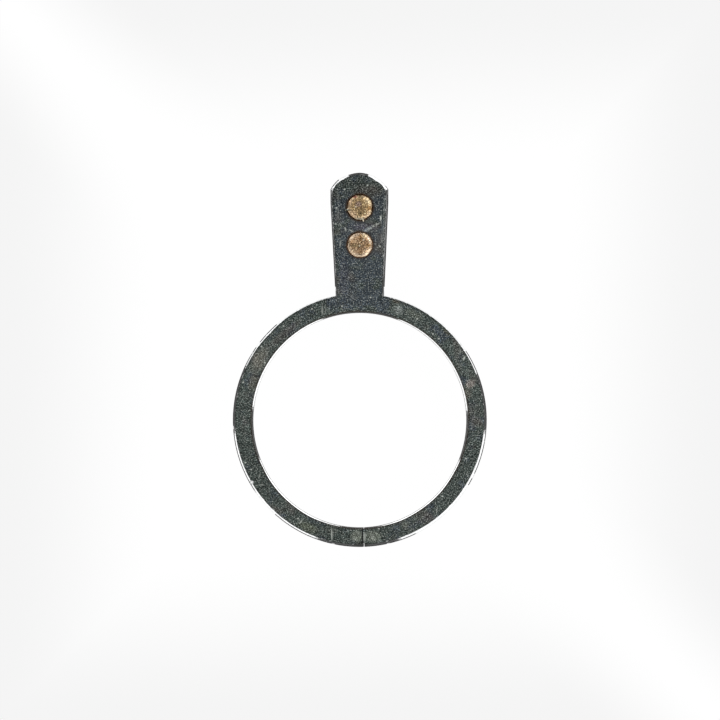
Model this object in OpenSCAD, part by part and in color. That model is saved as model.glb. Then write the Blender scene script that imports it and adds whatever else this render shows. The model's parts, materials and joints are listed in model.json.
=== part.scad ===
// Watch regulator index: a split spring ring with an arm, a riveted curb pin and a turning boot.
// The origin is on the axis of the ring's bore, level with the underside of the plate.
// +Z is up, towards the bevelled side, and the arm points along +Y. The pins hang down.
// All sizes are in millimetres.

/* [Ring] */
// Outside diameter of the ring
ring_od = 4.0; // [3.8:0.05:4.8]
// Bore that grips the seat on the balance cock
bore_d = 3.36; // [2.8:0.02:3.56]
// Thickness of the ring and of the arm
plate_t = 0.22; // [0.16:0.01:0.32]
// Width of the slit that lets the ring spring open
slit_w = 0.02; // [0.015:0.005:0.08]
// Offset of the slit to the side of the arm's centre line
slit_x = 0.065; // [-0.2:0.005:0.2]

/* [Arm] */
// Width of the arm where it leaves the ring
neck_w = 0.77; // [0.6:0.01:0.8]
// Length of the parallel neck, from the ring's edge
neck_l = 0.17; // [0.05:0.01:0.25]
// Width of the arm across the boot
head_w = 0.9; // [0.82:0.01:0.98]
// Distance from the boot's axis to the tip of the arm
tip_reach = 0.53; // [0.48:0.01:0.7]
// Radius of the rounded end of the arm
tip_r = 0.52; // [0.5:0.01:0.8]

/* [Bevels] */
// Width of the polished bevel round the outer edge, across the face
edge_bevel_w = 0.04; // [0.02:0.005:0.06]
// Depth of that bevel, down the side
edge_bevel_h = 0.03; // [0.015:0.005:0.08]
// Width of the bevel round the bore, across the face
bore_bevel_w = 0.025; // [0.015:0.005:0.05]
// Depth of that bevel, down the bore
bore_bevel_h = 0.02; // [0.01:0.005:0.06]

/* [Rivets] */
// Distance from the bore's axis to the curb pin
curb_r = 2.76; // [2.7:0.01:3.4]
// Distance from the curb pin to the boot
pin_pitch = 0.59; // [0.52:0.01:0.8]
// Diameter of the tenon that passes through the arm
tenon_d = 0.34; // [0.26:0.01:0.36]
// How far the spread rivet head stands out past its tenon
head_spread = 0.022; // [0.012:0.002:0.04]
// How far the rivet heads stand proud of the arm
head_proud = 0.025; // [0.01:0.005:0.05]
// Rounding of the rim of a rivet head
head_round = 0.02; // [0.01:0.002:0.04]
// Depth of the countersink round each tenon
sink_h = 0.06; // [0.03:0.005:0.09]
// Ring of daylight between a rivet head and the mouth of its countersink
sink_gap = 0.022; // [0.01:0.002:0.03]

/* [Curb pin] */
// Diameter of the working pin that the hairspring touches
pin_d = 0.14; // [0.1:0.01:0.18]
// Length of the pins below the arm
pin_l = 0.62; // [0.45:0.01:0.9]
// How far the curb pin's collar stands out past its tenon
pin_collar_spread = 0.03; // [0.01:0.01:0.05]
// Thickness of the curb pin's collar
pin_collar_h = 0.04; // [0.02:0.01:0.06]
// Chamfer on the tip of the curb pin
pin_tip = 0.025; // [0.01:0.005:0.04]

/* [Boot] */
// Gate left for the hairspring between the curb pin and the boot's leg
gate_w = 0.07; // [0.05:0.005:0.12]
// Width of the boot's leg
leg_w = 0.26; // [0.18:0.01:0.34]
// Thickness of the boot's toe, which closes the gate from below
toe_h = 0.12; // [0.08:0.01:0.2]
// Gap between the toe and the curb pin
toe_gap = 0.02; // [0.01:0.005:0.04]
// How far the boot's collar stands out past its tenon
boot_collar_spread = 0.06; // [0.03:0.01:0.09]
// Thickness of the boot's collar
boot_collar_h = 0.06; // [0.05:0.01:0.09]
// Running clearance of the boot in the arm
run_gap = 0.01; // [0.01:0.001:0.02]
// Width of the screwdriver slot in the boot's sole
driver_slot_w = 0.07; // [0.04:0.01:0.1]
// Depth of that slot
driver_slot_h = 0.08; // [0.04:0.01:0.14]

/* [Hidden] */
$fn = 96;
ring_r = ring_od / 2;
bore_r = bore_d / 2;
slit_cut_l = ring_r;
boot_y = curb_r + pin_pitch;
neck_y = ring_r + neck_l;
tip_y = boot_y + tip_reach;
tip_centre_y = tip_y - tip_r;
arm_root_y = (bore_r + ring_r) / 2;
tenon_r = tenon_d / 2;
head_r = tenon_r + head_spread;
pin_r = pin_d / 2;
leg_reach = pin_pitch - pin_r - gate_w;
toe_reach = pin_pitch - pin_r - toe_gap;
boot_collar_r = tenon_r + boot_collar_spread;
// Depth of a cut past the surface it opens through
past = 0.1;

// Right-hand side of the parallel neck, which runs on inside the blade.
neck_side = [
    [neck_w / 2, arm_root_y],
    [neck_w / 2, boot_y]
];
// Right-hand side of the blade from root to tip. It widens to the boot and then runs straight,
// and below the neck's end it lies inside the neck.
taper = (head_w - neck_w) / 2 / (boot_y - neck_y);
blade_side = [
    [neck_w / 2 - taper * (neck_y - arm_root_y), arm_root_y],
    [head_w / 2, boot_y],
    [head_w / 2, tip_y]
];

// Flat ring with a bevel round its outer edge and another round its bore.
module ring() {
    rotate_extrude()
        polygon([
            [bore_r, 0],
            [ring_r, 0],
            [ring_r, plate_t - edge_bevel_h],
            [ring_r - edge_bevel_w, plate_t],
            [bore_r + bore_bevel_w, plate_t],
            [bore_r, plate_t - bore_bevel_h]
        ]);
}

// Rounded, bevelled end of the arm as a whole disc.
module tip_disc() {
    translate([0, tip_centre_y, 0])
        rotate_extrude()
            polygon([
                [0, 0],
                [tip_r, 0],
                [tip_r, plate_t - edge_bevel_h],
                [tip_r - edge_bevel_w, plate_t],
                [0, plate_t]
            ]);
}

// Wedge that bevels the straight edge from point a to point b, with its solid on the left.
// It runs past both ends, so that two wedges meet in a mitre at an outer corner.
module edge_wedge(a, b) {
    run = b - a;
    start = a - run * past / norm(run);
    translate([start.x, start.y, plate_t])
        rotate([90, 0, atan2(run.y, run.x) + 90])
            linear_extrude(norm(run) + 2 * past)
                polygon([
                    [edge_bevel_w, 0],
                    [0, -edge_bevel_h],
                    [-past, -edge_bevel_h - past * edge_bevel_h / edge_bevel_w],
                    [-past, past],
                    [edge_bevel_w, past]
                ]);
}

// Flat bar with bevelled sides, given by the outline of its right-hand side.
module bevelled_bar(side) {
    left_side = [for (i = [len(side) - 1 : -1 : 0]) [-side[i].x, side[i].y]];
    difference() {
        linear_extrude(plate_t)
            polygon(concat(side, left_side));
        for (i = [0 : len(side) - 2]) {
            edge_wedge(side[i], side[i + 1]);
            mirror([1, 0, 0])
                edge_wedge(side[i], side[i + 1]);
        }
    }
}

// Arm with straight sides that widen from the neck to the boot, and a rounded end.
module arm() {
    bevelled_bar(neck_side);
    intersection() {
        bevelled_bar(blade_side);
        union() {
            tip_disc();
            translate([-head_w, arm_root_y, 0])
                cube([2 * head_w, tip_centre_y - arm_root_y, plate_t]);
        }
    }
}

// Hole for a tenon, countersunk on the bevelled side. The gap widens hole and countersink alike.
module tenon_hole(y, gap) {
    translate([0, y, 0]) {
        translate([0, 0, -past])
            cylinder(h = plate_t + 2 * past, r = tenon_r + gap);
        rotate_extrude()
            polygon([
                [0, plate_t - sink_h],
                [tenon_r + gap, plate_t - sink_h],
                [head_r + sink_gap + gap, plate_t],
                [head_r + sink_gap + gap, plate_t + past],
                [0, plate_t + past]
            ]);
    }
}

// Turned tenon from height z up through the arm, with its end spread into the countersink.
module riveted_tenon(z) {
    dome_z = plate_t + head_proud;
    rim = [for (a = [0 : 15 : 90])
        [head_r - head_round * (1 - cos(a)), dome_z - head_round * (1 - sin(a))]];
    rotate_extrude()
        polygon(concat(
            [[0, z], [tenon_r, z], [tenon_r, plate_t - sink_h], [head_r, plate_t]],
            rim,
            [[0, dome_z]]
        ));
}

// Spring steel ring and arm, cut as one plate.
module regulator_plate() {
    color([0.31, 0.33, 0.33])
        difference() {
            union() {
                ring();
                arm();
            }
            translate([slit_x - slit_w / 2, -ring_r - slit_cut_l / 2, -past])
                cube([slit_w, slit_cut_l, plate_t + 2 * past]);
            tenon_hole(curb_r, 0);
            tenon_hole(boot_y, run_gap);
        }
}

// Turned brass pin, driven through the arm up to its collar and riveted over.
module curb_pin() {
    collar_r = tenon_r + pin_collar_spread;
    color([0.76, 0.62, 0.42])
        translate([0, curb_r, 0]) {
            riveted_tenon(0);
            rotate_extrude()
                polygon([
                    [0, 0],
                    [collar_r, 0],
                    [collar_r, -pin_collar_h],
                    [pin_r, -pin_collar_h],
                    [pin_r, pin_tip - pin_l],
                    [pin_r - pin_tip, -pin_l],
                    [0, -pin_l]
                ]);
        }
}

// Brass boot: its riveted tenon turns in the arm. The leg stands off the axis towards the curb
// pin, and its toe closes the gate below. A slot in the sole takes the screwdriver.
module boot() {
    leg_top = -run_gap - boot_collar_h;
    color([0.70, 0.56, 0.37])
        translate([0, boot_y, 0]) {
            riveted_tenon(-run_gap);
            translate([0, 0, leg_top])
                cylinder(h = boot_collar_h, r = boot_collar_r);
            difference() {
                union() {
                    translate([0, 0, -pin_l])
                        cylinder(h = pin_l + leg_top, d = leg_w);
                    translate([-leg_w / 2, -leg_reach, -pin_l])
                        cube([leg_w, leg_reach, pin_l + leg_top]);
                    intersection() {
                        translate([0, 0, -pin_l])
                            cylinder(h = toe_h, r = toe_reach);
                        translate([-leg_w / 2, -toe_reach, -pin_l])
                            cube([leg_w, toe_reach, toe_h]);
                    }
                }
                translate([-leg_w, -driver_slot_w / 2, -pin_l - past])
                    cube([2 * leg_w, driver_slot_w, driver_slot_h + past]);
            }
        }
}

regulator_plate();
curb_pin();
boot();
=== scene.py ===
import json
import math

import bmesh
import bpy
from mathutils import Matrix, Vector, noise


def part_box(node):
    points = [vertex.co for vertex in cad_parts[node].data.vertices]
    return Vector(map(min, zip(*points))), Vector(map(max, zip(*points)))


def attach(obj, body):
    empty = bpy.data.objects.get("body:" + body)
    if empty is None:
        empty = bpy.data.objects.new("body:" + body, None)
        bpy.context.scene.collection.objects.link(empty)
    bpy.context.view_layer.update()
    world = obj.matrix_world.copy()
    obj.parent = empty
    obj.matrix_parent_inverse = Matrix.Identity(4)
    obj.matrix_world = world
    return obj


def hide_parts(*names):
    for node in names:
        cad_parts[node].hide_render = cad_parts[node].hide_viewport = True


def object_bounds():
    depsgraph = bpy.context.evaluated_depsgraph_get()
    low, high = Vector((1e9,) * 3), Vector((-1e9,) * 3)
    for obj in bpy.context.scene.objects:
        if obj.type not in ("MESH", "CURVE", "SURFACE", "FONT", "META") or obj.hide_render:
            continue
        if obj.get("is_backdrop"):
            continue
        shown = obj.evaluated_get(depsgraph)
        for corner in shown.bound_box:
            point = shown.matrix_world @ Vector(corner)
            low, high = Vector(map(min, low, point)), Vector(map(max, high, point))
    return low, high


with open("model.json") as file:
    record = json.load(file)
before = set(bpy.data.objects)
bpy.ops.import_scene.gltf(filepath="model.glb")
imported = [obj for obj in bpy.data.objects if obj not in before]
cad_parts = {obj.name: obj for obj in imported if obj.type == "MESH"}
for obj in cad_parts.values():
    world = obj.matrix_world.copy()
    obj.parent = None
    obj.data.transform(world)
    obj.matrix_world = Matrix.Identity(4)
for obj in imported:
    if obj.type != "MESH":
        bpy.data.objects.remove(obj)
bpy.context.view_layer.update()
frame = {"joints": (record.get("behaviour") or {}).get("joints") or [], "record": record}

# Regulator plate
# One flat piece of hardened spring steel, a ring with an arm, stamped and pierced and then split
# by a fine slit. Its face is left matt and dark, and its edges are bevelled and burnished by hand.

# The tools' own tolerances are too coarse for a watch part in metres, so each piece is modelled
# in millimetres and brought down to metres when it is finished.
MM = 0.001
# Points closer than this are at the same place or height.
NEAR = 1e-4
# How far a face's normal rises where the face is level, upright or part of a bevel.
LEVEL_RISE = 0.99
UPRIGHT_RISE = 0.05
BEVEL_RISES = (0.5, 0.95)

plate_low, plate_high = (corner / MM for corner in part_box("regulator_plate"))
boot_low, boot_high = (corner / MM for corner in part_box("boot"))
plate_t = plate_high.z
ring_r = -plate_low.y
bore_r = frame["record"]["mounts"][0]["dims"]["r_mm"]
boot_y = frame["joints"][0]["pos_m"][1] / MM
curb_low, curb_high = (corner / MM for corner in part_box("curb_pin"))
curb_y = (curb_low.y + curb_high.y) / 2
# The arm springs from the middle of the ring's rim. Its neck is straight, it widens up to
# widest_y, where it leans over by head_lean, and its tip is round beyond the shoulders.
arm_root_y = (bore_r + ring_r) / 2
tip_extra = 0.01
tip_y = plate_high.y + tip_extra
tip_r = 0.527
tip_centre_y = tip_y - tip_r
neck_w = 0.782
neck_l = 0.1
neck_y = ring_r + neck_l
head_w = 0.911
widest_y = 3.42
shoulder_y = 3.55
head_lean = -0.006

edge_bevel_w = 0.033
edge_bevel_h = 0.025
bore_bevel_w = 0.023
bore_bevel_h = 0.0133
bore_lip = 0.0025
corner_round = 0.017
arris_round = 0.004
underside_round = 0.012
# The bevels were filed by hand, so the face lies a little off the middle of its outline. Along
# the arm's sides it is off by side_share of what it is at the tip. On the ring it is also a little
# longer than wide, along a line at stretch_turn degrees.
ring_shift = Vector((-0.003, 0.012))
ring_stretch = 0.005
stretch_turn = 77
tip_shift = Vector((-0.007, 0.003))
side_share = 0.4
# Places where the file or the die left an edge uneven, each with its middle and half its width in
# degrees round the centre of its arc, and how far it reaches out: in the outline of the tip, in
# the face's edge there, at its two shoulders and on the ring, and in the mouth of the bore.
OUTLINE_PLACES = ((90, 14, 0.005), (130, 20, 0.01))
FACE_PLACES = ((57, 16, -0.017), (119, 11, -0.007), (130, 20, -0.01))
SHOULDERS = ((32, 9, -0.013), (148, 9, -0.013))
RING_PLACES = ((136, 9, -0.011),)
MOUTH_PLACES = ((240, 22, 0.003), (243, 7, 0.004), (292, 11, 0.0045), (331, 13, -0.007),
                (206, 8, -0.007))
# The bore's own middle, and its length over its width.
bore_y = -0.004
bore_tall = 1.0064
# The two tenons and the countersinks that they are spread into. Only the boot's runs with a gap.
tenon_r = 0.17
sink_h = 0.06
sink_r = 0.208
boot_run_gap = 0.01


def take_up(piece):
    """Selects a piece by itself."""
    bpy.ops.object.select_all(action="DESELECT")
    bpy.context.view_layer.objects.active = piece
    piece.select_set(True)


def open_piece(add, name, **size):
    """Adds a primitive by itself, brings its place into its mesh and opens it for editing."""
    bpy.ops.object.select_all(action="DESELECT")
    add(**size)
    piece = bpy.context.object
    piece.name = name
    bpy.ops.object.transform_apply(location=True, rotation=True, scale=True)
    bpy.ops.object.mode_set(mode="EDIT")
    return piece


def pick(kind, wanted):
    """Selects those faces, edges or verts of the open piece for which wanted is true."""
    bpy.ops.mesh.select_mode(type={"faces": "FACE", "edges": "EDGE", "verts": "VERT"}[kind])
    bpy.ops.mesh.select_all(action="DESELECT")
    mesh = bpy.context.object.data
    shape = bmesh.from_edit_mesh(mesh)
    for element in getattr(shape, kind):
        if wanted(element):
            element.select_set(True)
    shape.select_flush_mode()
    bmesh.update_edit_mesh(mesh)


def slice_off(point, normal, keep_outside=False):
    """Cuts all of the open piece along a plane and takes off what is on its normal's side."""
    bpy.ops.mesh.select_all(action="SELECT")
    bpy.ops.mesh.bisect(plane_co=point, plane_no=normal, threshold=1e-5,
                        use_fill=not keep_outside, clear_outer=not keep_outside)


def close_piece():
    """Ends the editing of the open piece."""
    bpy.ops.object.mode_set(mode="OBJECT")


def work_with(piece, tool, operation):
    """Joins a tool piece to a piece, or cuts it out of it, and takes the tool away."""
    take_up(piece)
    modifier = piece.modifiers.new("work", "BOOLEAN")
    modifier.operation = operation
    modifier.object = tool
    modifier.solver = "EXACT"
    bpy.ops.object.modifier_apply(modifier=modifier.name)
    bpy.data.objects.remove(tool)


def turn_between(turn, middle):
    """The angle between two directions in degrees, never over 180."""
    return abs((turn - middle + 180) % 360 - 180)


def reach_at(out, places):
    """How far an uneven edge reaches out in a direction from the centre of its arc."""
    turn = math.degrees(math.atan2(out.y, out.x))
    return sum(reach * max(0, 1 - turn_between(turn, middle) / half)
               for middle, half, reach in places)


def bring_to_metres(piece):
    """Scales a finished piece from millimetres down to metres."""
    take_up(piece)
    piece.scale = (MM, MM, MM)
    bpy.ops.object.transform_apply(location=True, rotation=True, scale=True)


# The arm starts as a round disc for its tip, drawn out to the root, trimmed at both sides and
# narrowed to the neck.
blank_h = plate_t - edge_bevel_h
arm = open_piece(bpy.ops.mesh.primitive_cylinder_add, "arm_blank", vertices=240, radius=tip_r,
                 depth=blank_h, location=(0, tip_centre_y, blank_h / 2))
for vertex in bmesh.from_edit_mesh(arm.data).verts:
    out = (vertex.co.xy - Vector((0, tip_centre_y))).normalized()
    reach = reach_at(out, OUTLINE_PLACES)
    vertex.co.x += out.x * reach
    vertex.co.y += out.y * reach
bmesh.update_edit_mesh(arm.data)
pick("verts", lambda v: v.co.y < tip_centre_y - NEAR)
bpy.ops.transform.translate(value=(0, arm_root_y - tip_centre_y, 0))
slice_off((head_w / 2, 0, 0), (1, 0, 0))
slice_off((-head_w / 2, 0, 0), (-1, 0, 0))
slice_off((0, arm_root_y, 0), (0, -1, 0))
# Rows of points where the outline may turn.
for row_y in (neck_y, widest_y, shoulder_y):
    slice_off((0, row_y, 0), (0, 1, 0), keep_outside=True)
pick("verts", lambda v: v.co.y < neck_y + NEAR)
bpy.ops.transform.resize(value=(neck_w / head_w, 1, 1), center_override=(0, 0, 0))
pick("verts", lambda v: v.co.y > widest_y - NEAR)
bpy.ops.transform.translate(value=(head_lean, 0, 0))
close_piece()

plate = open_piece(bpy.ops.mesh.primitive_cylinder_add, "split_ring_and_arm", vertices=360,
                   radius=ring_r, depth=blank_h, location=(0, 0, blank_h / 2))
close_piece()
work_with(plate, arm, "UNION")

# The face is drawn in and raised, which leaves the bevel all round in one sweep.
bpy.ops.object.mode_set(mode="EDIT")
bpy.ops.mesh.select_all(action="SELECT")
bpy.ops.mesh.remove_doubles(threshold=NEAR)
pick("faces", lambda f: abs(f.normal.z) > LEVEL_RISE)
bpy.ops.mesh.dissolve_limited(angle_limit=math.radians(0.2))
pick("faces", lambda f: f.normal.z > LEVEL_RISE)
bpy.ops.mesh.inset(thickness=edge_bevel_w, depth=edge_bevel_h, use_even_offset=True)


def filed_off(at):
    """How far the file moved the face's edge at a point of the outline, and which way is out."""
    if at.y > tip_centre_y:
        out = (at - Vector((head_lean, tip_centre_y))).normalized()
        return tip_shift + out * reach_at(out, FACE_PLACES), out
    if at.y > ring_r:
        return tip_shift * side_share, Vector((math.copysign(1, at.x), 0))
    out = at.normalized()
    turn = math.atan2(at.y, at.x) - math.radians(stretch_turn)
    reach = ring_stretch * math.cos(2 * turn) + reach_at(out, RING_PLACES)
    return ring_shift + out * reach, out


# The file keeps its slope, so where the bevel is narrower its lower edge is higher.
rim_r = ring_r - edge_bevel_w
bevel_slope = edge_bevel_h / edge_bevel_w
for vertex in bmesh.from_edit_mesh(plate.data).verts:
    if vertex.co.z > blank_h - NEAR:
        shift, out = filed_off(vertex.co.xy)
        if vertex.co.z > blank_h + edge_bevel_h / 2:
            if vertex.co.y > tip_centre_y:
                shift = shift + out * reach_at(out, SHOULDERS)
            vertex.co.x += shift.x
            vertex.co.y += shift.y
        else:
            vertex.co.z += bevel_slope * shift.dot(out)
bmesh.update_edit_mesh(plate.data)


def lies_at(edge, height):
    """True for an edge that lies level at a height."""
    return all(abs(v.co.z - height) < NEAR for v in edge.verts)


def is_outline(edge):
    """True for an edge between a level face and a side."""
    levels = [abs(f.normal.z) > LEVEL_RISE for f in edge.link_faces]
    return len(levels) == 2 and levels[0] != levels[1]


def is_corner(edge):
    """True for an edge between the bevel and an upright side."""
    rises = sorted(abs(f.normal.z) for f in edge.link_faces)
    least, most = BEVEL_RISES
    return len(rises) == 2 and rises[0] < UPRIGHT_RISE and least < rises[1] < most


pick("edges", is_corner)
bpy.ops.mesh.bevel(offset=corner_round, segments=4, profile=0.5, affect="EDGES")
pick("edges", lambda e: lies_at(e, plate_t) and is_outline(e))
bpy.ops.mesh.bevel(offset=arris_round, segments=2, profile=0.5, affect="EDGES")
pick("edges", lambda e: lies_at(e, 0) and is_outline(e))
bpy.ops.mesh.bevel(offset=underside_round, segments=2, profile=0.5, affect="EDGES")
close_piece()


def boring_tool(y, radius, cone_start, mouth_r, sides, lip=0):
    """Cutter for a straight bore that opens as a cone to mouth_r in the face.

    A lip is a short steep step at the foot of the cone.
    """
    past = 0.1
    tool = open_piece(bpy.ops.mesh.primitive_cylinder_add, "boring_tool", vertices=sides,
                      radius=radius, depth=cone_start - 2 * lip + past,
                      location=(0, y, (cone_start - 2 * lip - past) / 2))
    pick("faces", lambda f: f.normal.z > LEVEL_RISE)
    for wide, high in ((radius + lip, 2 * lip), (mouth_r, plate_t - cone_start), (mouth_r, past)):
        if high > 0:
            bpy.ops.mesh.extrude_region_move(TRANSFORM_OT_translate={"value": (0, 0, high)})
            bpy.ops.transform.resize(value=(wide / radius, wide / radius, 1),
                                     center_override=(0, y, 0))
            radius = wide
    close_piece()
    return tool


# The bore is a little longer than wide and off its bevel's middle, and this bevel keeps its slope
# too.
bore_tool = boring_tool(0, bore_r, plate_t - bore_bevel_h, bore_r + bore_bevel_w, 360, bore_lip)
bore_slope = bore_bevel_h / (bore_bevel_w - bore_lip)
for vertex in bore_tool.data.vertices:
    out = vertex.co.xy.normalized()
    reach = reach_at(out, MOUTH_PLACES)
    worn = bore_y * out.y + (bore_tall - 1) * bore_r * out.y ** 2
    if 0 < vertex.co.z < plate_t - NEAR:
        vertex.co.z += bore_slope * (worn - reach)
    moved = reach if vertex.co.z > plate_t - NEAR else worn
    vertex.co.x += out.x * moved
    vertex.co.y += out.y * moved
work_with(plate, bore_tool, "DIFFERENCE")
for hole_y, gap in ((curb_y, 0), (boot_y, boot_run_gap)):
    work_with(plate, boring_tool(hole_y, tenon_r + gap, plate_t - sink_h, sink_r + gap / 2, 120),
              "DIFFERENCE")

# Nicks from handling: three in the bore's edge beside the slit and one in the rim of the face.
# Each has its distance from the axis, its place round the ring in degrees, and its size.
NICKS = (
    (bore_r, 258, 0.016),
    (bore_r, 260.5, 0.013),
    (bore_r + 0.005, 263, 0.018),
    (rim_r, 210, 0.034),
)
for nick_r, turn, size in NICKS:
    across, along = math.cos(math.radians(turn)), math.sin(math.radians(turn))
    nick = open_piece(bpy.ops.mesh.primitive_ico_sphere_add, "nick_tool", subdivisions=2,
                      radius=size, location=(nick_r * across, nick_r * along, plate_t))
    close_piece()
    work_with(plate, nick, "DIFFERENCE")

# The slit is bowed and leans. Over slit_shut_l it has sprung shut against its own wall, so that
# daylight comes through at its ends only. It closes and opens within slit_shut_ramp.
slit_w = 0.02
slit_x = 0.052
slit_turn = -0.017
slit_l = 0.5
slit_h = 2 * plate_t
slit_lean = 0.027
slit_shut_lean = 0.03
slit_bow = 0.026
slit_shut_y = -1.83
slit_shut_l = 0.24
slit_shut_ramp = 0.02
SLIT_STEPS = 25
slit = open_piece(bpy.ops.mesh.primitive_cube_add, "slit_tool", size=1,
                  location=(slit_x, -arm_root_y, plate_t / 2), scale=(slit_w, slit_l, slit_h))
for step in range(1, SLIT_STEPS):
    slice_off((0, -arm_root_y + slit_l * (step / SLIT_STEPS - 0.5), 0), (0, 1, 0),
              keep_outside=True)
for vertex in bmesh.from_edit_mesh(slit.data).verts:
    shut = (slit_shut_l / 2 - abs(vertex.co.y - slit_shut_y)) / slit_shut_ramp
    shut = min(1, max(0, shut))
    vertex.co.x += slit_turn * (vertex.co.y + arm_root_y) - slit_bow * shut
    if vertex.co.z < 0:
        vertex.co.x += slit_lean + slit_shut_lean * shut
bmesh.update_edit_mesh(slit.data)
close_piece()
work_with(plate, slit, "DIFFERENCE")


class Wire:
    """One value, colour or vector in a material, so that its maths reads as plain expressions."""

    def __init__(self, finish, socket):
        self.finish = finish
        self.socket = socket

    def maths(self, operation, *values):
        return self.finish.node("ShaderNodeMath", {"operation": operation},
                                dict(enumerate(values)))

    def __add__(self, other):
        return self.maths("ADD", self, other)

    def __radd__(self, other):
        return self.maths("ADD", other, self)

    def __sub__(self, other):
        return self.maths("SUBTRACT", self, other)

    def __rsub__(self, other):
        return self.maths("SUBTRACT", other, self)

    def __mul__(self, other):
        return self.maths("MULTIPLY", self, other)

    def __rmul__(self, other):
        return self.maths("MULTIPLY", other, self)

    def __truediv__(self, other):
        return self.maths("DIVIDE", self, other)

    def __pow__(self, other):
        return self.maths("POWER", self, other)

    def __rpow__(self, other):
        return self.maths("POWER", other, self)

    def __abs__(self):
        return self.maths("ABSOLUTE", self)

    def least(self, other):
        """The smaller of two values."""
        return self.maths("MINIMUM", self, other)

    def most(self, other):
        """The larger of two values."""
        return self.maths("MAXIMUM", self, other)

    def rise(self, start, end):
        """0 below start, 1 above end and smooth between. It falls if end is below start."""
        return self.finish.node("ShaderNodeMapRange", {"interpolation_type": "SMOOTHSTEP"},
                                {"Value": self, "From Min": start, "From Max": end})


class Finish:
    """A material, or the world's light, built node by node."""

    def __init__(self, owner, kind, out_kind):
        owner.use_nodes = True
        self.owner = owner
        self.tree = owner.node_tree
        self.tree.nodes.clear()
        self.out = self.tree.nodes.new(out_kind)
        self.shader = self.tree.nodes.new(kind)
        self.tree.links.new(self.shader.outputs[0], self.out.inputs["Surface"])

    def connect(self, socket, value):
        """Links a socket to a wire, or sets it to a number or a colour."""
        if isinstance(value, Wire):
            self.tree.links.new(value.socket, socket)
        elif socket.type == "RGBA" and len(value) == 3:
            socket.default_value = (*value, 1)
        else:
            socket.default_value = value

    def node(self, kind, settings=None, inputs=None, output=0):
        """Adds any node: its settings first, then its sockets. Gives one of its outputs."""
        made = self.tree.nodes.new(kind)
        for setting, value in (settings or {}).items():
            setattr(made, setting, value)
        for socket, value in (inputs or {}).items():
            self.connect(made.inputs[socket], value)
        return Wire(self, made.outputs[output])

    def set(self, **values):
        """Sets or links the shader's own sockets, with _ for a blank in their names."""
        for name, value in values.items():
            self.connect(self.shader.inputs[name.replace("_", " ")], value)

    def blend(self, factor, first, second):
        """Mixes two colours."""
        return self.node("ShaderNodeMix", {"data_type": "RGBA"},
                         {"Factor": factor, 6: first, 7: second}, 2)

    def dim(self, colour, factor):
        """Multiplies a colour by a value."""
        return self.node("ShaderNodeVectorMath", {"operation": "SCALE"},
                         {0: colour, "Scale": factor})

    def place(self):
        """The point on the piece in millimetres."""
        spot = self.node("ShaderNodeTexCoord", output="Object")
        return self.node("ShaderNodeVectorMath", {"operation": "SCALE"},
                         {0: spot, "Scale": 1 / MM})

    def split(self, vector):
        """The three parts of a vector."""
        parts = self.tree.nodes.new("ShaderNodeSeparateXYZ")
        self.connect(parts.inputs[0], vector)
        return [Wire(self, socket) for socket in parts.outputs]

    def grain(self, spot, per_mm, detail=2.0, roughness=0.5, offset=(0, 0, 0)):
        """Noise from about 0.2 to 0.8, with per_mm spots to the millimetre."""
        moved = self.node("ShaderNodeVectorMath", {"operation": "ADD"}, {0: spot, 1: offset})
        return self.node("ShaderNodeTexNoise", None,
                         {"Vector": moved, "Scale": per_mm, "Detail": detail,
                          "Roughness": roughness})

    def bump(self, height, strength, distance_mm):
        """Fine relief, distance_mm deep where height runs from 0 to 1."""
        return self.node("ShaderNodeBump", None,
                         {"Height": height, "Strength": strength, "Distance": distance_mm * MM})

    def length(self, x, y):
        """The distance from the origin of x and y."""
        return (x * x + y * y) ** 0.5

    def oval(self, spot, at, long, wide, turn=0, core=0.3):
        """1 in an oval round a point of the face, fading to 0 from its core out to its edge.

        long and wide are half sizes, and core is the share of them that is full.
        """
        local = self.node("ShaderNodeMapping", {"vector_type": "TEXTURE"},
                          {"Vector": spot, "Location": (*at, plate_t),
                           "Rotation": (0, 0, math.radians(turn)), "Scale": (long, wide, 1)})
        away = self.node("ShaderNodeVectorMath", {"operation": "LENGTH"}, {0: local},
                         output="Value")
        return away.rise(1, core)


def new_finish(name):
    """A metal's material."""
    finish = Finish(bpy.data.materials.new(name), "ShaderNodeBsdfPrincipled",
                    "ShaderNodeOutputMaterial")
    finish.set(Metallic=1.0)
    return finish


# The matt face: dark grey-green steel with a fine lapped grain, cloudy tints from hardening, and
# the specks and scratches of use.
face = new_finish("matt_face")
spot = face.place()
x, y, z = face.split(spot)
# How far a point lies inside the face's edge on the arm and anywhere, and away from the bore and
# the countersinks.
from_axis = face.length(x, y)
widening = (head_w - neck_w) / 2 / (widest_y - neck_y)
half_w = neck_w / 2 - edge_bevel_w + widening * (y.most(neck_y).least(widest_y) - neck_y)
in_arm = (half_w - abs(x)).least(
    tip_r - edge_bevel_w - face.length(x - head_lean, (y - tip_centre_y).most(0)))
in_arm = in_arm.least(y - arm_root_y)
in_outline = (ring_r - edge_bevel_w - from_axis).most(in_arm)
from_bore = from_axis - (bore_r + bore_bevel_w)
from_sinks = (face.length(x, y - curb_y) - sink_r).least(
    face.length(x, y - boot_y) - (sink_r + boot_run_gap / 2))

fine = face.grain(spot, 64, 1, 0.6)
coarse = face.grain(spot, 16, 3, 0.6, (3, 1, 0))
cloud = face.grain(spot, 2.2, 2, 0.5, (7, 2, 0))
tint = face.grain(spot, 4.1, 3, 0.6, (1, 8, 0))
sparkle = face.grain(spot, 55, 0, 0.5, (5, 5, 0))
# The grain is weaker along the arm. The tip and the ring's half with the slit are darker.
contrast = 11 - in_arm.rise(-0.1, 0.1) * y.rise(3.6, 3.3) * 3.6
lower = y.rise(0.8, -0.8) * 0.16 + y.rise(3.0, 3.5) * 0.4 + 0.02
level = 2.0 ** ((fine - 0.5) * contrast + (coarse - 0.5) * 2.6 + (cloud - 0.5) * 0.9 - lower)

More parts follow.
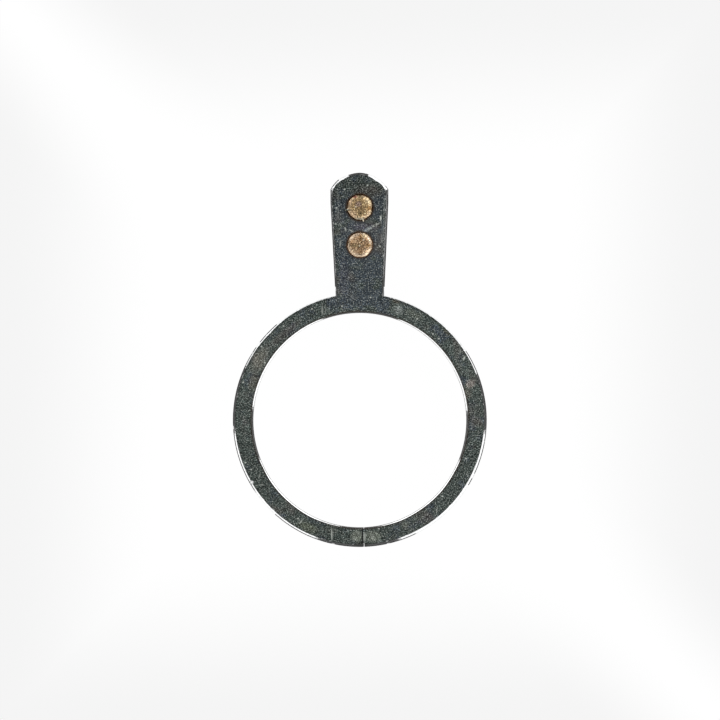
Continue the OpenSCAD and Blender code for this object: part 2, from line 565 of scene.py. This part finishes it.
GREEN_STEEL = (0.056, 0.069, 0.063)
BLUE_STEEL = (0.053, 0.065, 0.075)
BROWN_STEEL = (0.075, 0.068, 0.062)
# The next brown is partly scale and partly painted shade, round the bore and the countersinks.
BROWN_SCALE_AND_SHADE = (0.045, 0.03, 0.022)
BRIGHT_METAL = (0.6, 0.63, 0.58)
bluer = tint + in_arm.rise(-0.3, 0.2) * y.rise(3.7, 3.4) * 0.18
steel = face.blend(bluer.rise(0.5, 0.66), GREEN_STEEL, BLUE_STEEL)
steel = face.blend(cloud.rise(0.55, 0.7) * 0.7, steel, BROWN_STEEL)

# Stains, rubbed patches and a darker place at the slit's mouth, each with its place, half length
# and half width, its turn in degrees, its colour and its strength. Two rubbed patches lie at the
# sides of the slit.
RUBBED = (0.2, 0.22, 0.18)
STAINS = (
    ((-0.05, -1.83), 0.13, 0.13, 0, RUBBED, 0.7),
    ((0.21, -1.83), 0.17, 0.13, 0, RUBBED, 0.65),
    ((-0.82, -1.69), 0.24, 0.1, -22, (0.13, 0.14, 0.1), 0.5),
    ((0.72, -1.63), 0.09, 0.07, 0, RUBBED, 0.4),
    ((-1.57, 0.95), 0.3, 0.14, 62, (0.17, 0.16, 0.135), 0.55),
    ((-1.67, 0.6), 0.2, 0.12, 76, (0.12, 0.1, 0.08), 0.4),
    ((0.61, 1.73), 0.1, 0.1, 0, (0.2, 0.22, 0.21), 0.7),
    ((0.57, 1.87), 0.09, 0.05, -15, (0.1, 0.085, 0.065), 0.5),
    ((0.86, 1.66), 0.2, 0.08, -28, (0.11, 0.12, 0.1), 0.5),
    ((1.37, 1.38), 0.1, 0.05, -45, (0.09, 0.08, 0.055), 0.5),
    ((1.74, 0.57), 0.11, 0.09, 30, (0.25, 0.22, 0.2), 0.65),
    ((1.69, 0.42), 0.1, 0.12, 0, (0.12, 0.11, 0.09), 0.5),
    ((-0.25, 2.25), 0.1, 0.5, 0, (0.06, 0.065, 0.085), 0.5),
    ((0.05, 3.04), 0.28, 0.09, 0, (0.066, 0.064, 0.084), 0.6),
    ((0.12, 3.0), 0.12, 0.04, 31, (0.17, 0.2, 0.24), 0.8),
    ((0.15, 3.6), 0.35, 0.16, 0, (0.062, 0.058, 0.053), 0.7),
    ((-1.18, 1.36), 0.45, 0.09, 41, (0.09, 0.078, 0.074), 0.5),
    ((-0.44, -1.73), 0.15, 0.07, -14, (0.12, 0.125, 0.11), 0.4),
    ((0.03, -1.95), 0.17, 0.045, 0, (0.025, 0.025, 0.022), 0.75),
)
for at, long, wide, turn, colour, strength in STAINS:
    steel = face.blend(face.oval(spot, at, long, wide, turn) * strength, steel, colour)
steel = face.dim(steel, level)

# Scratches, each with its place, half length, half width, turn and strength. The second lot are
# broken up by the grain.
SCRATCHES = (
    ((-0.442, -1.8), 0.14, 0.016, 91, 0.65),
    ((-0.59, 1.725), 0.11, 0.018, 90, 0.45),
    ((-0.54, 1.73), 0.1, 0.016, 91, 0.25),
    ((-0.48, 1.75), 0.08, 0.014, 90, 0.18),
    ((1.64, 0.97), 0.05, 0.02, 63, 0.8),
    ((1.58, 1.08), 0.055, 0.016, 80, 0.4),
    ((-0.925, -1.6), 0.055, 0.02, 53, 0.5),
    ((0.33, 3.178), 0.06, 0.02, 89, 1.0),
    ((-0.226, 3.006), 0.045, 0.018, -70, 0.75),
    ((-0.135, 2.98), 0.06, 0.016, -30, 0.6),
    ((-0.305, 2.78), 0.08, 0.02, 84, 0.45),
    ((-0.307, 3.075), 0.05, 0.014, -57, 0.4),
    ((0.342, 2.818), 0.035, 0.014, 90, 0.3),
    ((-1.58, -0.88), 0.06, 0.018, 72, 0.35),
    ((-1.55, -1.02), 0.06, 0.018, 0, 0.3),
    ((0.074, -1.84), 0.11, 0.03, 90, 0.5),
)
BROKEN_SCRATCHES = (
    ((-1.458, 1.11), 0.2, 0.018, 91, 0.4),
    ((1.7, -0.89), 0.2, 0.018, 94, 0.45),
    ((1.208, -1.41), 0.08, 0.018, 90, 0.8),
    ((-0.34, 3.4), 0.4, 0.02, 90, 0.35),
    ((0.38, 3.2), 0.6, 0.02, 88, 0.4),
    ((0.2, -1.838), 0.11, 0.035, -72, 0.45),
    ((-0.03, -1.8), 0.06, 0.05, 0, 0.35),
    ((-0.09, -1.87), 0.06, 0.05, 60, 0.35),
    ((0.14, 3.01), 0.12, 0.036, 31, 0.85),
    ((0.23, 3.06), 0.13, 0.026, 29, 1.1),
)
speck_l = 0.022
speck_w = 0.019
SPECKS = (
    (-1.2, 1.48), (-1.835, 0.594), (-0.28, 1.793), (-0.753, 1.75), (-1.494, 0.902),
    (-1.548, 1.158), (1.151, 1.355), (1.246, 1.281), (0.904, 1.594), (1.672, -0.606),
    (-1.8, -0.669), (-0.973, -1.55), (-0.241, 3.631), (0.121, 3.694), (0.17, 1.93),
    (-1.71, -0.78), (0.3, -1.71), (1.3, -1.2), (-0.367, 3.34), (-0.383, 3.088),
    (0.318, 2.735), (0.373, 2.585),
)
marks = 0
for at, long, wide, turn, strength in SCRATCHES:
    marks = (face.oval(spot, at, long, wide, turn) * strength).most(marks)
in_grain = fine.rise(0.45, 0.6)
for at, long, wide, turn, strength in BROKEN_SCRATCHES:
    marks = (face.oval(spot, at, long, wide, turn) * strength * in_grain).most(marks)
for at in SPECKS:
    marks = (face.oval(spot, at, speck_l, speck_w) * 0.8).most(marks)
sparkle = sparkle.rise(0.6, 0.74) * 0.5
steel = face.blend(sparkle.most(marks), steel, BRIGHT_METAL)
# Painted shade: the face is darker at its edge. Round the bore and the countersinks it turns
# browner and darker, partly as scale and partly as painted shade.
rim_shade = in_outline.rise(0.03, 0.0) * 0.35
bore_shade = from_bore.rise(0.035, 0.0) * 0.75
sink_shade = from_sinks.rise(0.04, 0.0) * 0.75
steel = face.dim(steel, 1 - rim_shade)
steel = face.blend(bore_shade.most(sink_shade), steel, BROWN_SCALE_AND_SHADE)
face.set(Base_Color=steel, Roughness=0.42 + (coarse - 0.5) * 0.25,
         Normal=face.bump(fine + coarse * 0.6, 0.5, 0.003))

# The burnished bevel: bright steel that mirrors the lights, with a few hairlines left in it. It
# is duller along the arm's sides and darker where the slit opens.
POLISH = (0.9, 0.91, 0.91)
HAIRLINE_GREY = (0.3, 0.3, 0.3)
bevel = new_finish("burnished_bevel")
spot = bevel.place()
hairline = bevel.grain(spot, 30, 3, 0.6)
fine = bevel.grain(spot, 60, 1, 0.6)
shine = bevel.blend(hairline.rise(0.56, 0.72) * 0.5, POLISH, HAIRLINE_GREY)
x, y, z = bevel.split(spot)
dull = abs(x).rise(0.3, 0.32) * y.rise(2.2, 2.3) * y.rise(3.6, 3.5)
slit_darkening = bevel.oval(spot, (0.02, -1.985), 0.17, 0.05)
bevel.set(Base_Color=bevel.dim(shine, (0.5 + fine) * (1 - slit_darkening * 0.45)),
          Roughness=0.06 + (hairline - 0.5) * 0.06 + dull * 0.15,
          Normal=bevel.bump(hairline, 0.25, 0.002))

# The stamped side, the slit and the countersinks: raw dark steel, drawn upright by the punch. The
# plate's outer edge lies past edge_from, the arm's part of it past arm_from and the bore's edge
# within bore_to. The countersinks lie within sink_to of their middles. The burnisher reached down
# to corner_z.
edge_from = ring_r - 0.03
arm_from = ring_r + 0.05
bore_to = bore_r + 0.02
sink_to = 0.28
corner_z = plate_t - 0.06
RAW_STEEL = (0.07, 0.07, 0.068)
SINK_BROWN = (0.3, 0.19, 0.11)
BORE_BROWN = (0.1, 0.085, 0.07)
BARE_STEEL = (0.95, 0.95, 0.95)
side = new_finish("stamped_side")
spot = side.place()
x, y, z = side.split(spot)
scale = side.grain(spot, 25, 3, 0.6)
drawn = side.grain(side.node("ShaderNodeCombineXYZ", None, {0: x, 1: y, 2: z * 0.1}), 40, 2, 0.6)
on_edge = side.length(x, y).rise(edge_from, edge_from + 0.005)
on_arm = side.length(x, y).rise(arm_from, arm_from + 0.01)
on_bore = side.length(x, y).rise(bore_to + 0.002, bore_to)
# The corner's dark line is broken here and there, and the nick in the rim is bare metal.
bright = side.grain(spot, 5, 2, 0.5).rise(0.6, 0.62) * on_edge * (1 - on_arm)
bright = bright.most(side.oval(spot, (-1.68, -0.97), 0.045, 0.045, core=0.8))
on_corner = z.rise(corner_z, corner_z + 0.01)
bright = bright * on_corner
from_heads = side.length(x, y - curb_y).least(side.length(x, y - boot_y))
in_sinks = from_heads.rise(sink_to + 0.02, sink_to)
dark = side.blend(in_sinks, RAW_STEEL, SINK_BROWN)
dark = side.blend(on_bore * 0.7, dark, BORE_BROWN)
uneven = (scale - 0.5) * 4 + (drawn - 0.5) * (1 - on_corner) * 4
side.set(Base_Color=side.blend(bright, side.dim(dark, 2.0 ** uneven), BARE_STEEL),
         Roughness=0.45 - bright * 0.3, Normal=side.bump(scale + drawn, 0.6, 0.004),
         Specular_Tint=(0.2, 0.2, 0.2, 1))

# The underside: the same dark steel, ground flat along the arm.
GROUND_STEEL = (0.06, 0.07, 0.068)
GROUND_PATCH = (0.11, 0.115, 0.11)
ground = new_finish("ground_underside")
spot = ground.place()
x, y, z = ground.split(spot)
along = ground.node("ShaderNodeCombineXYZ", None, {0: x, 1: y * 0.03, 2: z})
lines = ground.grain(along, 50, 3, 0.65)
patch = ground.grain(spot, 2.5, 3, 0.6)
steel = ground.blend(patch.rise(0.42, 0.62), GROUND_STEEL, GROUND_PATCH)
ground.set(Base_Color=ground.dim(steel, 2.0 ** ((lines - 0.5) * 4)),
           Roughness=0.4 + (patch - 0.5) * 0.2, Normal=ground.bump(lines, 0.5, 0.002))

# The arris between the face and a bevel: dark, and worn to bright bits that catch the light.
ARRIS_DARK = (0.05, 0.054, 0.05)
ARRIS_WORN = (0.6, 0.61, 0.6)
arris = new_finish("worn_arris")
spot = arris.place()
worn = arris.grain(spot, 18, 2, 0.6).rise(0.56, 0.62)
arris.set(Base_Color=arris.blend(worn, ARRIS_DARK, ARRIS_WORN), Roughness=0.5 - worn * 0.3)

# Where the burnisher has slipped over the corner below a bevel, the corner is as bright as the
# bevel. Each stretch is given by its middle and half its width, in degrees round the centre.
RING_STRETCHES = ((221, 6.5), (313, 16), (82, 49), (143.5, 1.5))
TIP_STRETCHES = ((56.5, 18.5), (119, 9))
BORE_STRETCHES = ((36, 8), (142, 25), (231, 17), (310, 22))


def is_slip(at):
    """True if the burnisher slipped over the corner beside this point of the plate."""
    if at.z < corner_z or bore_to <= at.xy.length <= edge_from:
        return False
    centre_y = 0
    if at.y > arm_from:
        stretches = TIP_STRETCHES
        centre_y = tip_centre_y
    elif at.xy.length > edge_from:
        stretches = RING_STRETCHES
    else:
        stretches = BORE_STRETCHES
    turn = math.degrees(math.atan2(at.y - centre_y, at.x))
    return any(turn_between(turn, middle) < half for middle, half in stretches)


for finish in (face, bevel, side, arris, ground):
    plate.data.materials.append(finish.owner)
FACE, BEVEL, SIDE, ARRIS, UNDERSIDE = range(5)
# The bevel's finish ends where its lower corner is steeper than bevel_end_rise. The arris lies
# above arris_z, and the bore has none within arris_from.
bevel_end_rise = 0.76
arris_z = plate_t - arris_round * 0.6
arris_from = bore_r + 0.03
for polygon in plate.data.polygons:
    around = polygon.center.xy
    by_head = min((around - Vector((0, curb_y))).length, (around - Vector((0, boot_y))).length)
    in_sink = by_head < sink_r + boot_run_gap
    rise = polygon.normal.z
    if rise > LEVEL_RISE and polygon.center.z > plate_t - 10 * NEAR:
        polygon.material_index = FACE
    elif rise < -LEVEL_RISE:
        polygon.material_index = UNDERSIDE
    elif in_sink or rise < bevel_end_rise and not is_slip(polygon.center):
        polygon.material_index = SIDE
    elif polygon.center.z > arris_z and around.length > arris_from:
        polygon.material_index = ARRIS
    else:
        polygon.material_index = BEVEL

take_up(plate)
bpy.ops.object.shade_smooth_by_angle(angle=math.radians(24))
weigh = plate.modifiers.new("weigh", "WEIGHTED_NORMAL")
weigh.keep_sharp = True
bpy.ops.object.modifier_apply(modifier=weigh.name)
bring_to_metres(plate)
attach(plate, "index")
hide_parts("regulator_plate")

# Curb pin
# A turned brass pin. Its tenon is driven up through the arm to a collar and its end is hammered
# over into the countersink. The thin working pin below guides one side of the hairspring.
head_top = curb_high.z
pin_foot = curb_low.z
curb_collar_r = (curb_high.x - curb_low.x) / 2
curb_collar_h = 0.04
curb_head_r = 0.199
pin_r = 0.07
pin_tip = 0.025
collar_chamfer = 0.008
# A rivet's head is turned over at head_rim_z, and the hammer's marks fade out down to beaten_z.
# Its throat, just below the rim, is spread by throat_spread at most and clears the countersink.
head_rim_z = plate_t - 0.01
beaten_z = plate_t - 0.03
throat_drop = 0.0025
throat_in = 0.0014
throat_spread = 0.011
# A burr rises by burr_rise of its reach, and past the countersink's mouth it lies burr_gap over
# the face.
burr_rise = 0.4
burr_gap = 0.004


def turned(name, y, profile, sides):
    """Turns a closed solid round the upright axis at y from its (radius, height) profile."""
    radius, height = profile[0]
    piece = open_piece(bpy.ops.mesh.primitive_circle_add, name, vertices=sides, radius=radius,
                       location=(0, y, height))
    bpy.ops.mesh.select_all(action="SELECT")
    bpy.ops.mesh.select_mode(type="EDGE")
    for next_radius, next_height in profile[1:]:
        bpy.ops.mesh.extrude_edges_move(
            TRANSFORM_OT_translate={"value": (0, 0, next_height - height)})
        ratio = next_radius / radius
        bpy.ops.transform.resize(value=(ratio, ratio, 1), center_override=(0, y, 0))
        radius, height = next_radius, next_height
    bpy.ops.mesh.merge(type="CENTER")
    bpy.ops.mesh.select_mode(type="EDGE")
    bpy.ops.mesh.select_all(action="SELECT")
    bpy.ops.mesh.fill_holes(sides=0)
    bpy.ops.mesh.select_all(action="SELECT")
    bpy.ops.mesh.normals_make_consistent(inside=False)
    close_piece()
    return piece


def riveted_end(start, head_r):
    """Profile of a tenon from start up, spread into its countersink, with a low domed end."""
    rim_w = 0.004
    rim_h = 0.005
    crown = 0.004
    brow = head_top - head_rim_z - rim_h - crown
    throat = (head_r - throat_in, head_rim_z - throat_drop)
    rim = [(head_r - rim_w * (1 - math.cos(a)), head_rim_z + rim_h * math.sin(a))
           for a in (math.radians(20 * step) for step in range(4))]
    dome = [(share * head_r, head_top - crown * share ** 2 - brow * share ** 4)
            for share in (0.97 - 0.06 * step for step in range(16))]
    return [(tenon_r, start), (tenon_r, plate_t - sink_h), throat, *rim, *dome]


def hammer(piece, y, head_r, seed, depth, ragged, lean, burrs=()):
    """Beats the head of a rivet: dents in its end, an uneven rim and a few burrs on the rim.

    The head ends up off its tenon by lean. A burr is an uneven place of the rim, which also stands
    up a little where it reaches out, and lies over the face where it passes the countersink's
    mouth. Where it reaches in, the rim is flat.
    """
    mouth_r = sink_r - burr_gap
    for vertex in piece.data.vertices:
        spot = Vector((vertex.co.x, vertex.co.y - y, 0))
        lift = min(1, max(0, (vertex.co.z - beaten_z) / (head_rim_z - beaten_z)))
        wave = noise.noise(spot * 9 + Vector((seed, 0, 0)))
        dent = noise.noise(spot * 26 + Vector((0, seed, 0)))
        chip = noise.noise(spot * 55 + Vector((0, 0, seed)))
        below_rim = vertex.co.z < head_rim_z - NEAR
        vertex.co.z += lift * depth * (0.5 * wave + 0.5 * dent + 0.25 * chip)
        rim = min(1, spot.length / head_r) ** 4
        burr = lift * rim * reach_at(spot, burrs)
        spread = lift * rim * ragged * (1.2 * wave + 0.8 * chip) + burr
        if below_rim:
            spread = min(spread, throat_spread)
        vertex.co.z += max(0, burr) * burr_rise
        vertex.co.x += spot.x / head_r * spread + lift * lean[0]
        vertex.co.y += spot.y / head_r * spread + lift * lean[1]
        if lift > 0 and math.hypot(vertex.co.x, vertex.co.y - y) > mouth_r:
            vertex.co.z = max(vertex.co.z, plate_t + burr_gap)


curb = turned("riveted_curb_pin", curb_y,
              [(pin_r - pin_tip, pin_foot), (pin_r, pin_foot + pin_tip), (pin_r, -curb_collar_h),
               (curb_collar_r - collar_chamfer, -curb_collar_h),
               (curb_collar_r, collar_chamfer - curb_collar_h), (curb_collar_r, 0),
               *riveted_end(0, curb_head_r)], 120)
hammer(curb, curb_y, curb_head_r, seed=3.0, depth=0.003, ragged=0.004, lean=(0.003, -0.004))

TURNED_BRASS = (0.6, 0.44, 0.23)
TARNISHED_BRASS = (0.4, 0.27, 0.13)


def brass(name, head_y, core, rim, seed, spots_and_highlights):
    """Brass, left bright by the lathe and the file except for its hammered end.

    The end is brown and mottled, and paler towards its rim where the hammer turned it over. This
    paler rim is partly painted highlight.
    Spots are patches of colour and painted highlights and glints. Each has its place from the
    head's centre, half length and half width along X and Y, its colour and its strength.
    """
    finish = new_finish(name)
    spot = finish.place()
    x, y, z = finish.split(spot)
    from_middle = finish.length(x, y - head_y)
    dents = finish.grain(spot, 22, 3, 0.6, (seed, 0, 0))
    mottle = finish.grain(spot, 42, 2, 0.7, (seed, seed, 0))
    fine = finish.grain(spot, 66, 1, 0.6, (0, seed, 0))
    stain = finish.grain(spot, 9, 3, 0.65, (seed, 2, 0))
    # Towards and at its rim the end is paler, partly as painted highlight.
    edge = (from_middle + (stain - 0.5) * 0.09).rise(0.13, 0.17)
    worked = tuple(part * 1.5 for part in core)
    skin = finish.blend((from_middle * 2 + stain).rise(0.52, 0.85), core, worked)
    skin = finish.blend(edge, skin, rim)
    for at, long, wide, colour, strength in spots_and_highlights:
        place = (at[0], head_y + at[1])
        skin = finish.blend(finish.oval(spot, place, long, wide) * strength, skin, colour)
    on_end = z.rise(plate_t - 0.04, plate_t - 0.02)
    flat = finish.node("ShaderNodeCombineXYZ", None, {0: x * 0.05, 1: y * 0.05, 2: z})
    cut = finish.grain(flat, 42, 3, 0.6, (seed, 0, 0))
    body = finish.blend(stain.rise(0.45, 0.7) * 0.6, TURNED_BRASS, TARNISHED_BRASS)
    skin = finish.blend(on_end, body, skin)
    rough_end = ((mottle - 0.5) * 8 + (fine - 0.5) * 7) * (1 - edge * 0.35)
    contrast = on_end * rough_end + (1 - on_end) * (cut - 0.5) * 2
    relief = on_end * (dents + mottle * 0.5) + (1 - on_end) * cut * 0.7
    finish.set(Base_Color=finish.dim(skin, 2.0 ** contrast),
               Roughness=0.34 - edge * on_end * 0.06 - (1 - on_end) * 0.08,
               Normal=finish.bump(relief, 0.5, 0.004))
    return finish


# Peach, pale gold and cream are painted highlights and glints on the heads. The other colours are
# the brass's own.
OLIVE = (0.2, 0.15, 0.08)
BROWN = (0.2, 0.11, 0.04)
PEACH_HIGHLIGHT = (0.46, 0.32, 0.2)
PALE_GOLD_HIGHLIGHT = (0.58, 0.46, 0.28)
CREAM_GLINT = (0.95, 0.8, 0.6)
CURB_SPOTS_AND_HIGHLIGHTS = (
    ((-0.09, -0.1), 0.07, 0.06, PEACH_HIGHLIGHT, 0.6),
    ((0.09, -0.09), 0.06, 0.06, PEACH_HIGHLIGHT, 0.6),
    ((0.08, 0.14), 0.07, 0.05, PALE_GOLD_HIGHLIGHT, 0.5),
    ((-0.06, -0.015), 0.13, 0.045, OLIVE, 0.7),
    ((-0.14, 0.04), 0.05, 0.07, BROWN, 0.5),
    ((0.14, -0.01), 0.07, 0.045, BROWN, 0.8),
    ((0.01, 0.12), 0.035, 0.1, BROWN, 0.7),
    ((0.01, -0.13), 0.04, 0.07, BROWN, 0.5),
    ((0.055, 0.075), 0.02, 0.02, CREAM_GLINT, 0.6),
    ((0.0, -0.015), 0.02, 0.02, CREAM_GLINT, 0.4),
)
curb_brass = brass("pin_brass", curb_y, core=(0.28, 0.18, 0.105), rim=(0.48, 0.37, 0.265),
                   seed=2.0, spots_and_highlights=CURB_SPOTS_AND_HIGHLIGHTS)
curb.data.materials.append(curb_brass.owner)
take_up(curb)
bpy.ops.object.shade_smooth_by_angle(angle=math.radians(32))
bring_to_metres(curb)
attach(curb, "index")
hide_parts("curb_pin")

# Boot
# The brass key that closes the gate round the hairspring. Its tenon turns in the arm and is
# hammered over more roughly. Below are its collar, the filed leg off its axis, the toe under the
# curb pin and the screwdriver slot in its sole.
boot_foot = boot_low.z
boot_collar_r = (boot_high.x - boot_low.x) / 2
boot_collar_h = 0.06
boot_collar_round = 0.01
boot_head_r = 0.198
leg_top = -boot_run_gap - boot_collar_h
leg_sunk = 0.02
leg_w = 0.26
gate_w = 0.07
toe_h = 0.12
toe_reach = boot_y - boot_low.y
leg_reach = boot_y - curb_y - pin_r - gate_w
slot_w = 0.07
slot_h = 0.08

boot = turned("riveted_boot", boot_y,
              [(boot_collar_r - boot_collar_round, leg_top),
               (boot_collar_r, leg_top + boot_collar_round),
               (boot_collar_r, -boot_run_gap - collar_chamfer),
               (boot_collar_r - collar_chamfer, -boot_run_gap),
               *riveted_end(-boot_run_gap, boot_head_r)], 180)
BURRS = ((192, 7, 0.058), (285, 6, 0.036), (0, 20, -0.006), (198, 20, -0.012), (90, 15, -0.003))
hammer(boot, boot_y, boot_head_r, seed=11.0, depth=0.004, ragged=0.006, lean=(0.001, 0.0),
       burrs=BURRS)

# The leg and toe are one bar with a round back, cut away above the toe.
leg_h = leg_top - boot_foot + leg_sunk
leg = open_piece(bpy.ops.mesh.primitive_cylinder_add, "leg_blank", vertices=96, radius=leg_w / 2,
                 depth=leg_h, location=(0, boot_y, boot_foot + leg_h / 2))
pick("verts", lambda v: v.co.y < boot_y - NEAR)
bpy.ops.transform.resize(value=(1, 0, 1), center_override=(0, boot_y, 0))
bpy.ops.transform.translate(value=(0, -leg_reach, 0))
close_piece()
toe = open_piece(bpy.ops.mesh.primitive_cylinder_add, "toe_blank", vertices=360, radius=toe_reach,
                 depth=toe_h, location=(0, boot_y, boot_foot + toe_h / 2))
slice_off((leg_w / 2, 0, 0), (1, 0, 0))
slice_off((-leg_w / 2, 0, 0), (-1, 0, 0))
slice_off((0, boot_y, 0), (0, 1, 0))
close_piece()
work_with(leg, toe, "UNION")
slot = open_piece(bpy.ops.mesh.primitive_cube_add, "slot_tool", size=1,
                  location=(0, boot_y, boot_foot), scale=(2 * leg_w, slot_w, 2 * slot_h))
close_piece()
work_with(leg, slot, "DIFFERENCE")
soften = leg.modifiers.new("soften", "BEVEL")
soften.width = 0.008
soften.segments = 2
soften.limit_method = "ANGLE"
soften.angle_limit = math.radians(40)
bpy.ops.object.modifier_apply(modifier=soften.name)
work_with(boot, leg, "UNION")

RED_BROWN = (0.22, 0.08, 0.06)
PINKISH = (0.33, 0.24, 0.22)
GREY_GREEN = (0.3, 0.31, 0.25)
PALE_GREEN = (0.42, 0.44, 0.36)
# On the boot's head too, the peach, pale gold and cream spots are painted highlights and glints.
BOOT_SPOTS_AND_HIGHLIGHTS = (
    ((-0.1, -0.1), 0.08, 0.07, PEACH_HIGHLIGHT, 0.7),
    ((-0.16, 0.08), 0.05, 0.07, PEACH_HIGHLIGHT, 0.8),
    ((0.13, 0.11), 0.08, 0.07, PALE_GOLD_HIGHLIGHT, 0.5),
    ((0.0, 0.15), 0.05, 0.1, OLIVE, 0.7),
    ((-0.02, 0.05), 0.07, 0.06, PINKISH, 0.6),
    ((-0.08, 0.165), 0.06, 0.03, RED_BROWN, 0.9),
    ((0.15, -0.02), 0.06, 0.05, BROWN, 0.8),
    ((0.01, -0.1), 0.045, 0.06, OLIVE, 0.9),
    ((0.0, -0.19), 0.12, 0.03, GREY_GREEN, 0.6),
    ((-0.21, -0.045), 0.04, 0.035, PALE_GREEN, 1.0),
    ((-0.07, 0.005), 0.016, 0.016, CREAM_GLINT, 0.8),
    ((0.055, -0.22), 0.035, 0.04, CREAM_GLINT, 0.7),
)
boot_brass = brass("boot_brass", boot_y, core=(0.262, 0.18, 0.094), rim=(0.39, 0.295, 0.19),
                   seed=6.0, spots_and_highlights=BOOT_SPOTS_AND_HIGHLIGHTS)
boot.data.materials.append(boot_brass.owner)
take_up(boot)
bpy.ops.object.shade_smooth_by_angle(angle=math.radians(32))
bring_to_metres(boot)
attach(boot, "boot")
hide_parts("boot")

# Floor
# A square white light pad under the tips of the pins, a little dimmer towards its edges except
# in two opposite corners. The camera and reflections see it white, and a small share of it is lit
# paint for the soft shadow.
RING_PX = 254
AXIS_PX = (359.3, 419.55)
PICTURE_PX = 720
mm_per_px = 2 * ring_r / RING_PX
centre_px = (PICTURE_PX - 1) / 2
pad_x = (centre_px - AXIS_PX[0]) * mm_per_px
pad_y = (AXIS_PX[1] - centre_px) * mm_per_px
pad_half = 5.8
pad_glow = 1.01
edge_dim = 0.1
# Across the line between the two brighter corners, the dimming grows between these distances.
streak_start = -0.2
streak_half = 2.2
paint_share = 0.03
floor_w = 400
floor = open_piece(bpy.ops.mesh.primitive_plane_add, "table", size=floor_w,
                   location=(0, 0, boot_foot))
close_piece()
bring_to_metres(floor)
table = Finish(bpy.data.materials.new("white_table"), "ShaderNodeMixShader",
               "ShaderNodeOutputMaterial")
x, y, z = table.split(table.place())
pad_edge = abs(x - pad_x).most(abs(y - pad_y)).rise(pad_half / 2, pad_half)
pad_edge = pad_edge * abs(x - pad_x + y - pad_y).rise(streak_start, streak_half)
paint = table.node("ShaderNodeBsdfDiffuse", None, {"Color": (0.9, 0.9, 0.9)})
glow = table.node("ShaderNodeEmission", None,
                  {"Color": (1, 1, 1), "Strength": pad_glow - pad_edge * edge_dim})
camera_ray = table.node("ShaderNodeLightPath", output="Is Camera Ray")
glossy_ray = table.node("ShaderNodeLightPath", output="Is Glossy Ray")
table.connect(table.shader.inputs[0], camera_ray.most(glossy_ray) * (1 - paint_share))
table.connect(table.shader.inputs[1], paint)
table.connect(table.shader.inputs[2], glow)
floor.data.materials.append(table.owner)
floor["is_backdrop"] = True

# Light
# A white tent, dimmer straight above where the lens looks through, with soft lamps half way up
# and four dark gaps low down, to the front, back and sides, which show in the polished bevels.
# Each gap has its middle and half its width in degrees, at its foot and at its top.
GAP_FEET = ((90.5, 19), (171, 15.5), (269.5, 19), (7, 13.5))
GAP_TOPS = ((90.3, 10.8), (171.5, 14), (269.5, 20.5), (7.5, 15))
TOP_LIGHT = 0.6
LOW_LIGHT = 0.6
GAP_DARK = 1.1


def height_at(elevation):
    """Height on the tent, which has radius 1, at an elevation in degrees."""
    return math.sin(math.radians(elevation))


def in_stretches(finish, x, y, stretches):
    """1 in the stretches round the origin of x and y, 0 elsewhere."""
    turn = finish.node("ShaderNodeMath", {"operation": "ARCTAN2"}, {0: y, 1: x})
    inside = 0
    for centre, half in stretches:
        near = finish.node("ShaderNodeMath", {"operation": "COSINE"},
                           {0: turn - math.radians(centre)})
        near = near.rise(math.cos(math.radians(half + 1)), math.cos(math.radians(half - 1)))
        inside = near.most(inside)
    return inside


tent = Finish(bpy.data.worlds.new("light_tent"), "ShaderNodeBackground", "ShaderNodeOutputWorld")
bpy.context.scene.world = tent.owner
x, y, z = tent.split(tent.node("ShaderNodeTexCoord", output="Generated"))
higher = z.rise(0.32, 0.38)
gap = in_stretches(tent, x, y, GAP_FEET) * (1 - higher)
gap = gap + in_stretches(tent, x, y, GAP_TOPS) * higher
low = z.rise(height_at(31), height_at(25))
# The lamps are brightest between the four sides, and stronger on the right.
lamps = z.rise(height_at(32), height_at(40)) * z.rise(height_at(66), height_at(56))
around = tent.length(x, y)
corners = abs(x * y) * 2 / (around * around)
lamps = lamps * (0.1 + corners * 1.2) * (1 + x / around * 0.65)
# Just below the lamps and beside the gaps, the tent is brighter at the back and on the right.
band = higher * low * (1 - gap) * (y.rise(0.2, 0.5) * 0.6).most(x.rise(0.2, 0.5) * 0.15)
light = TOP_LIGHT + lamps + low * LOW_LIGHT - low * gap * GAP_DARK + band
camera_ray = tent.node("ShaderNodeLightPath", output="Is Camera Ray")
tent.set(Color=(1, 1, 1), Strength=light * (1 - camera_ray) + camera_ray)

# Camera
# It looks straight down, as in the photograph, from 90 mm above the face.
camera_h = 90
camera = bpy.data.cameras.new("camera")
camera.lens = camera.sensor_width * camera_h / (PICTURE_PX * mm_per_px)
camera.clip_start = 0.001
camera.clip_end = 10
eye = bpy.data.objects.new("camera", camera)
eye.location = Vector((pad_x, pad_y, plate_t + camera_h)) * MM
bpy.context.scene.collection.objects.link(eye)
bpy.context.scene.camera = eye
bpy.context.scene.view_settings.view_transform = "Standard"

low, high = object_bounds()
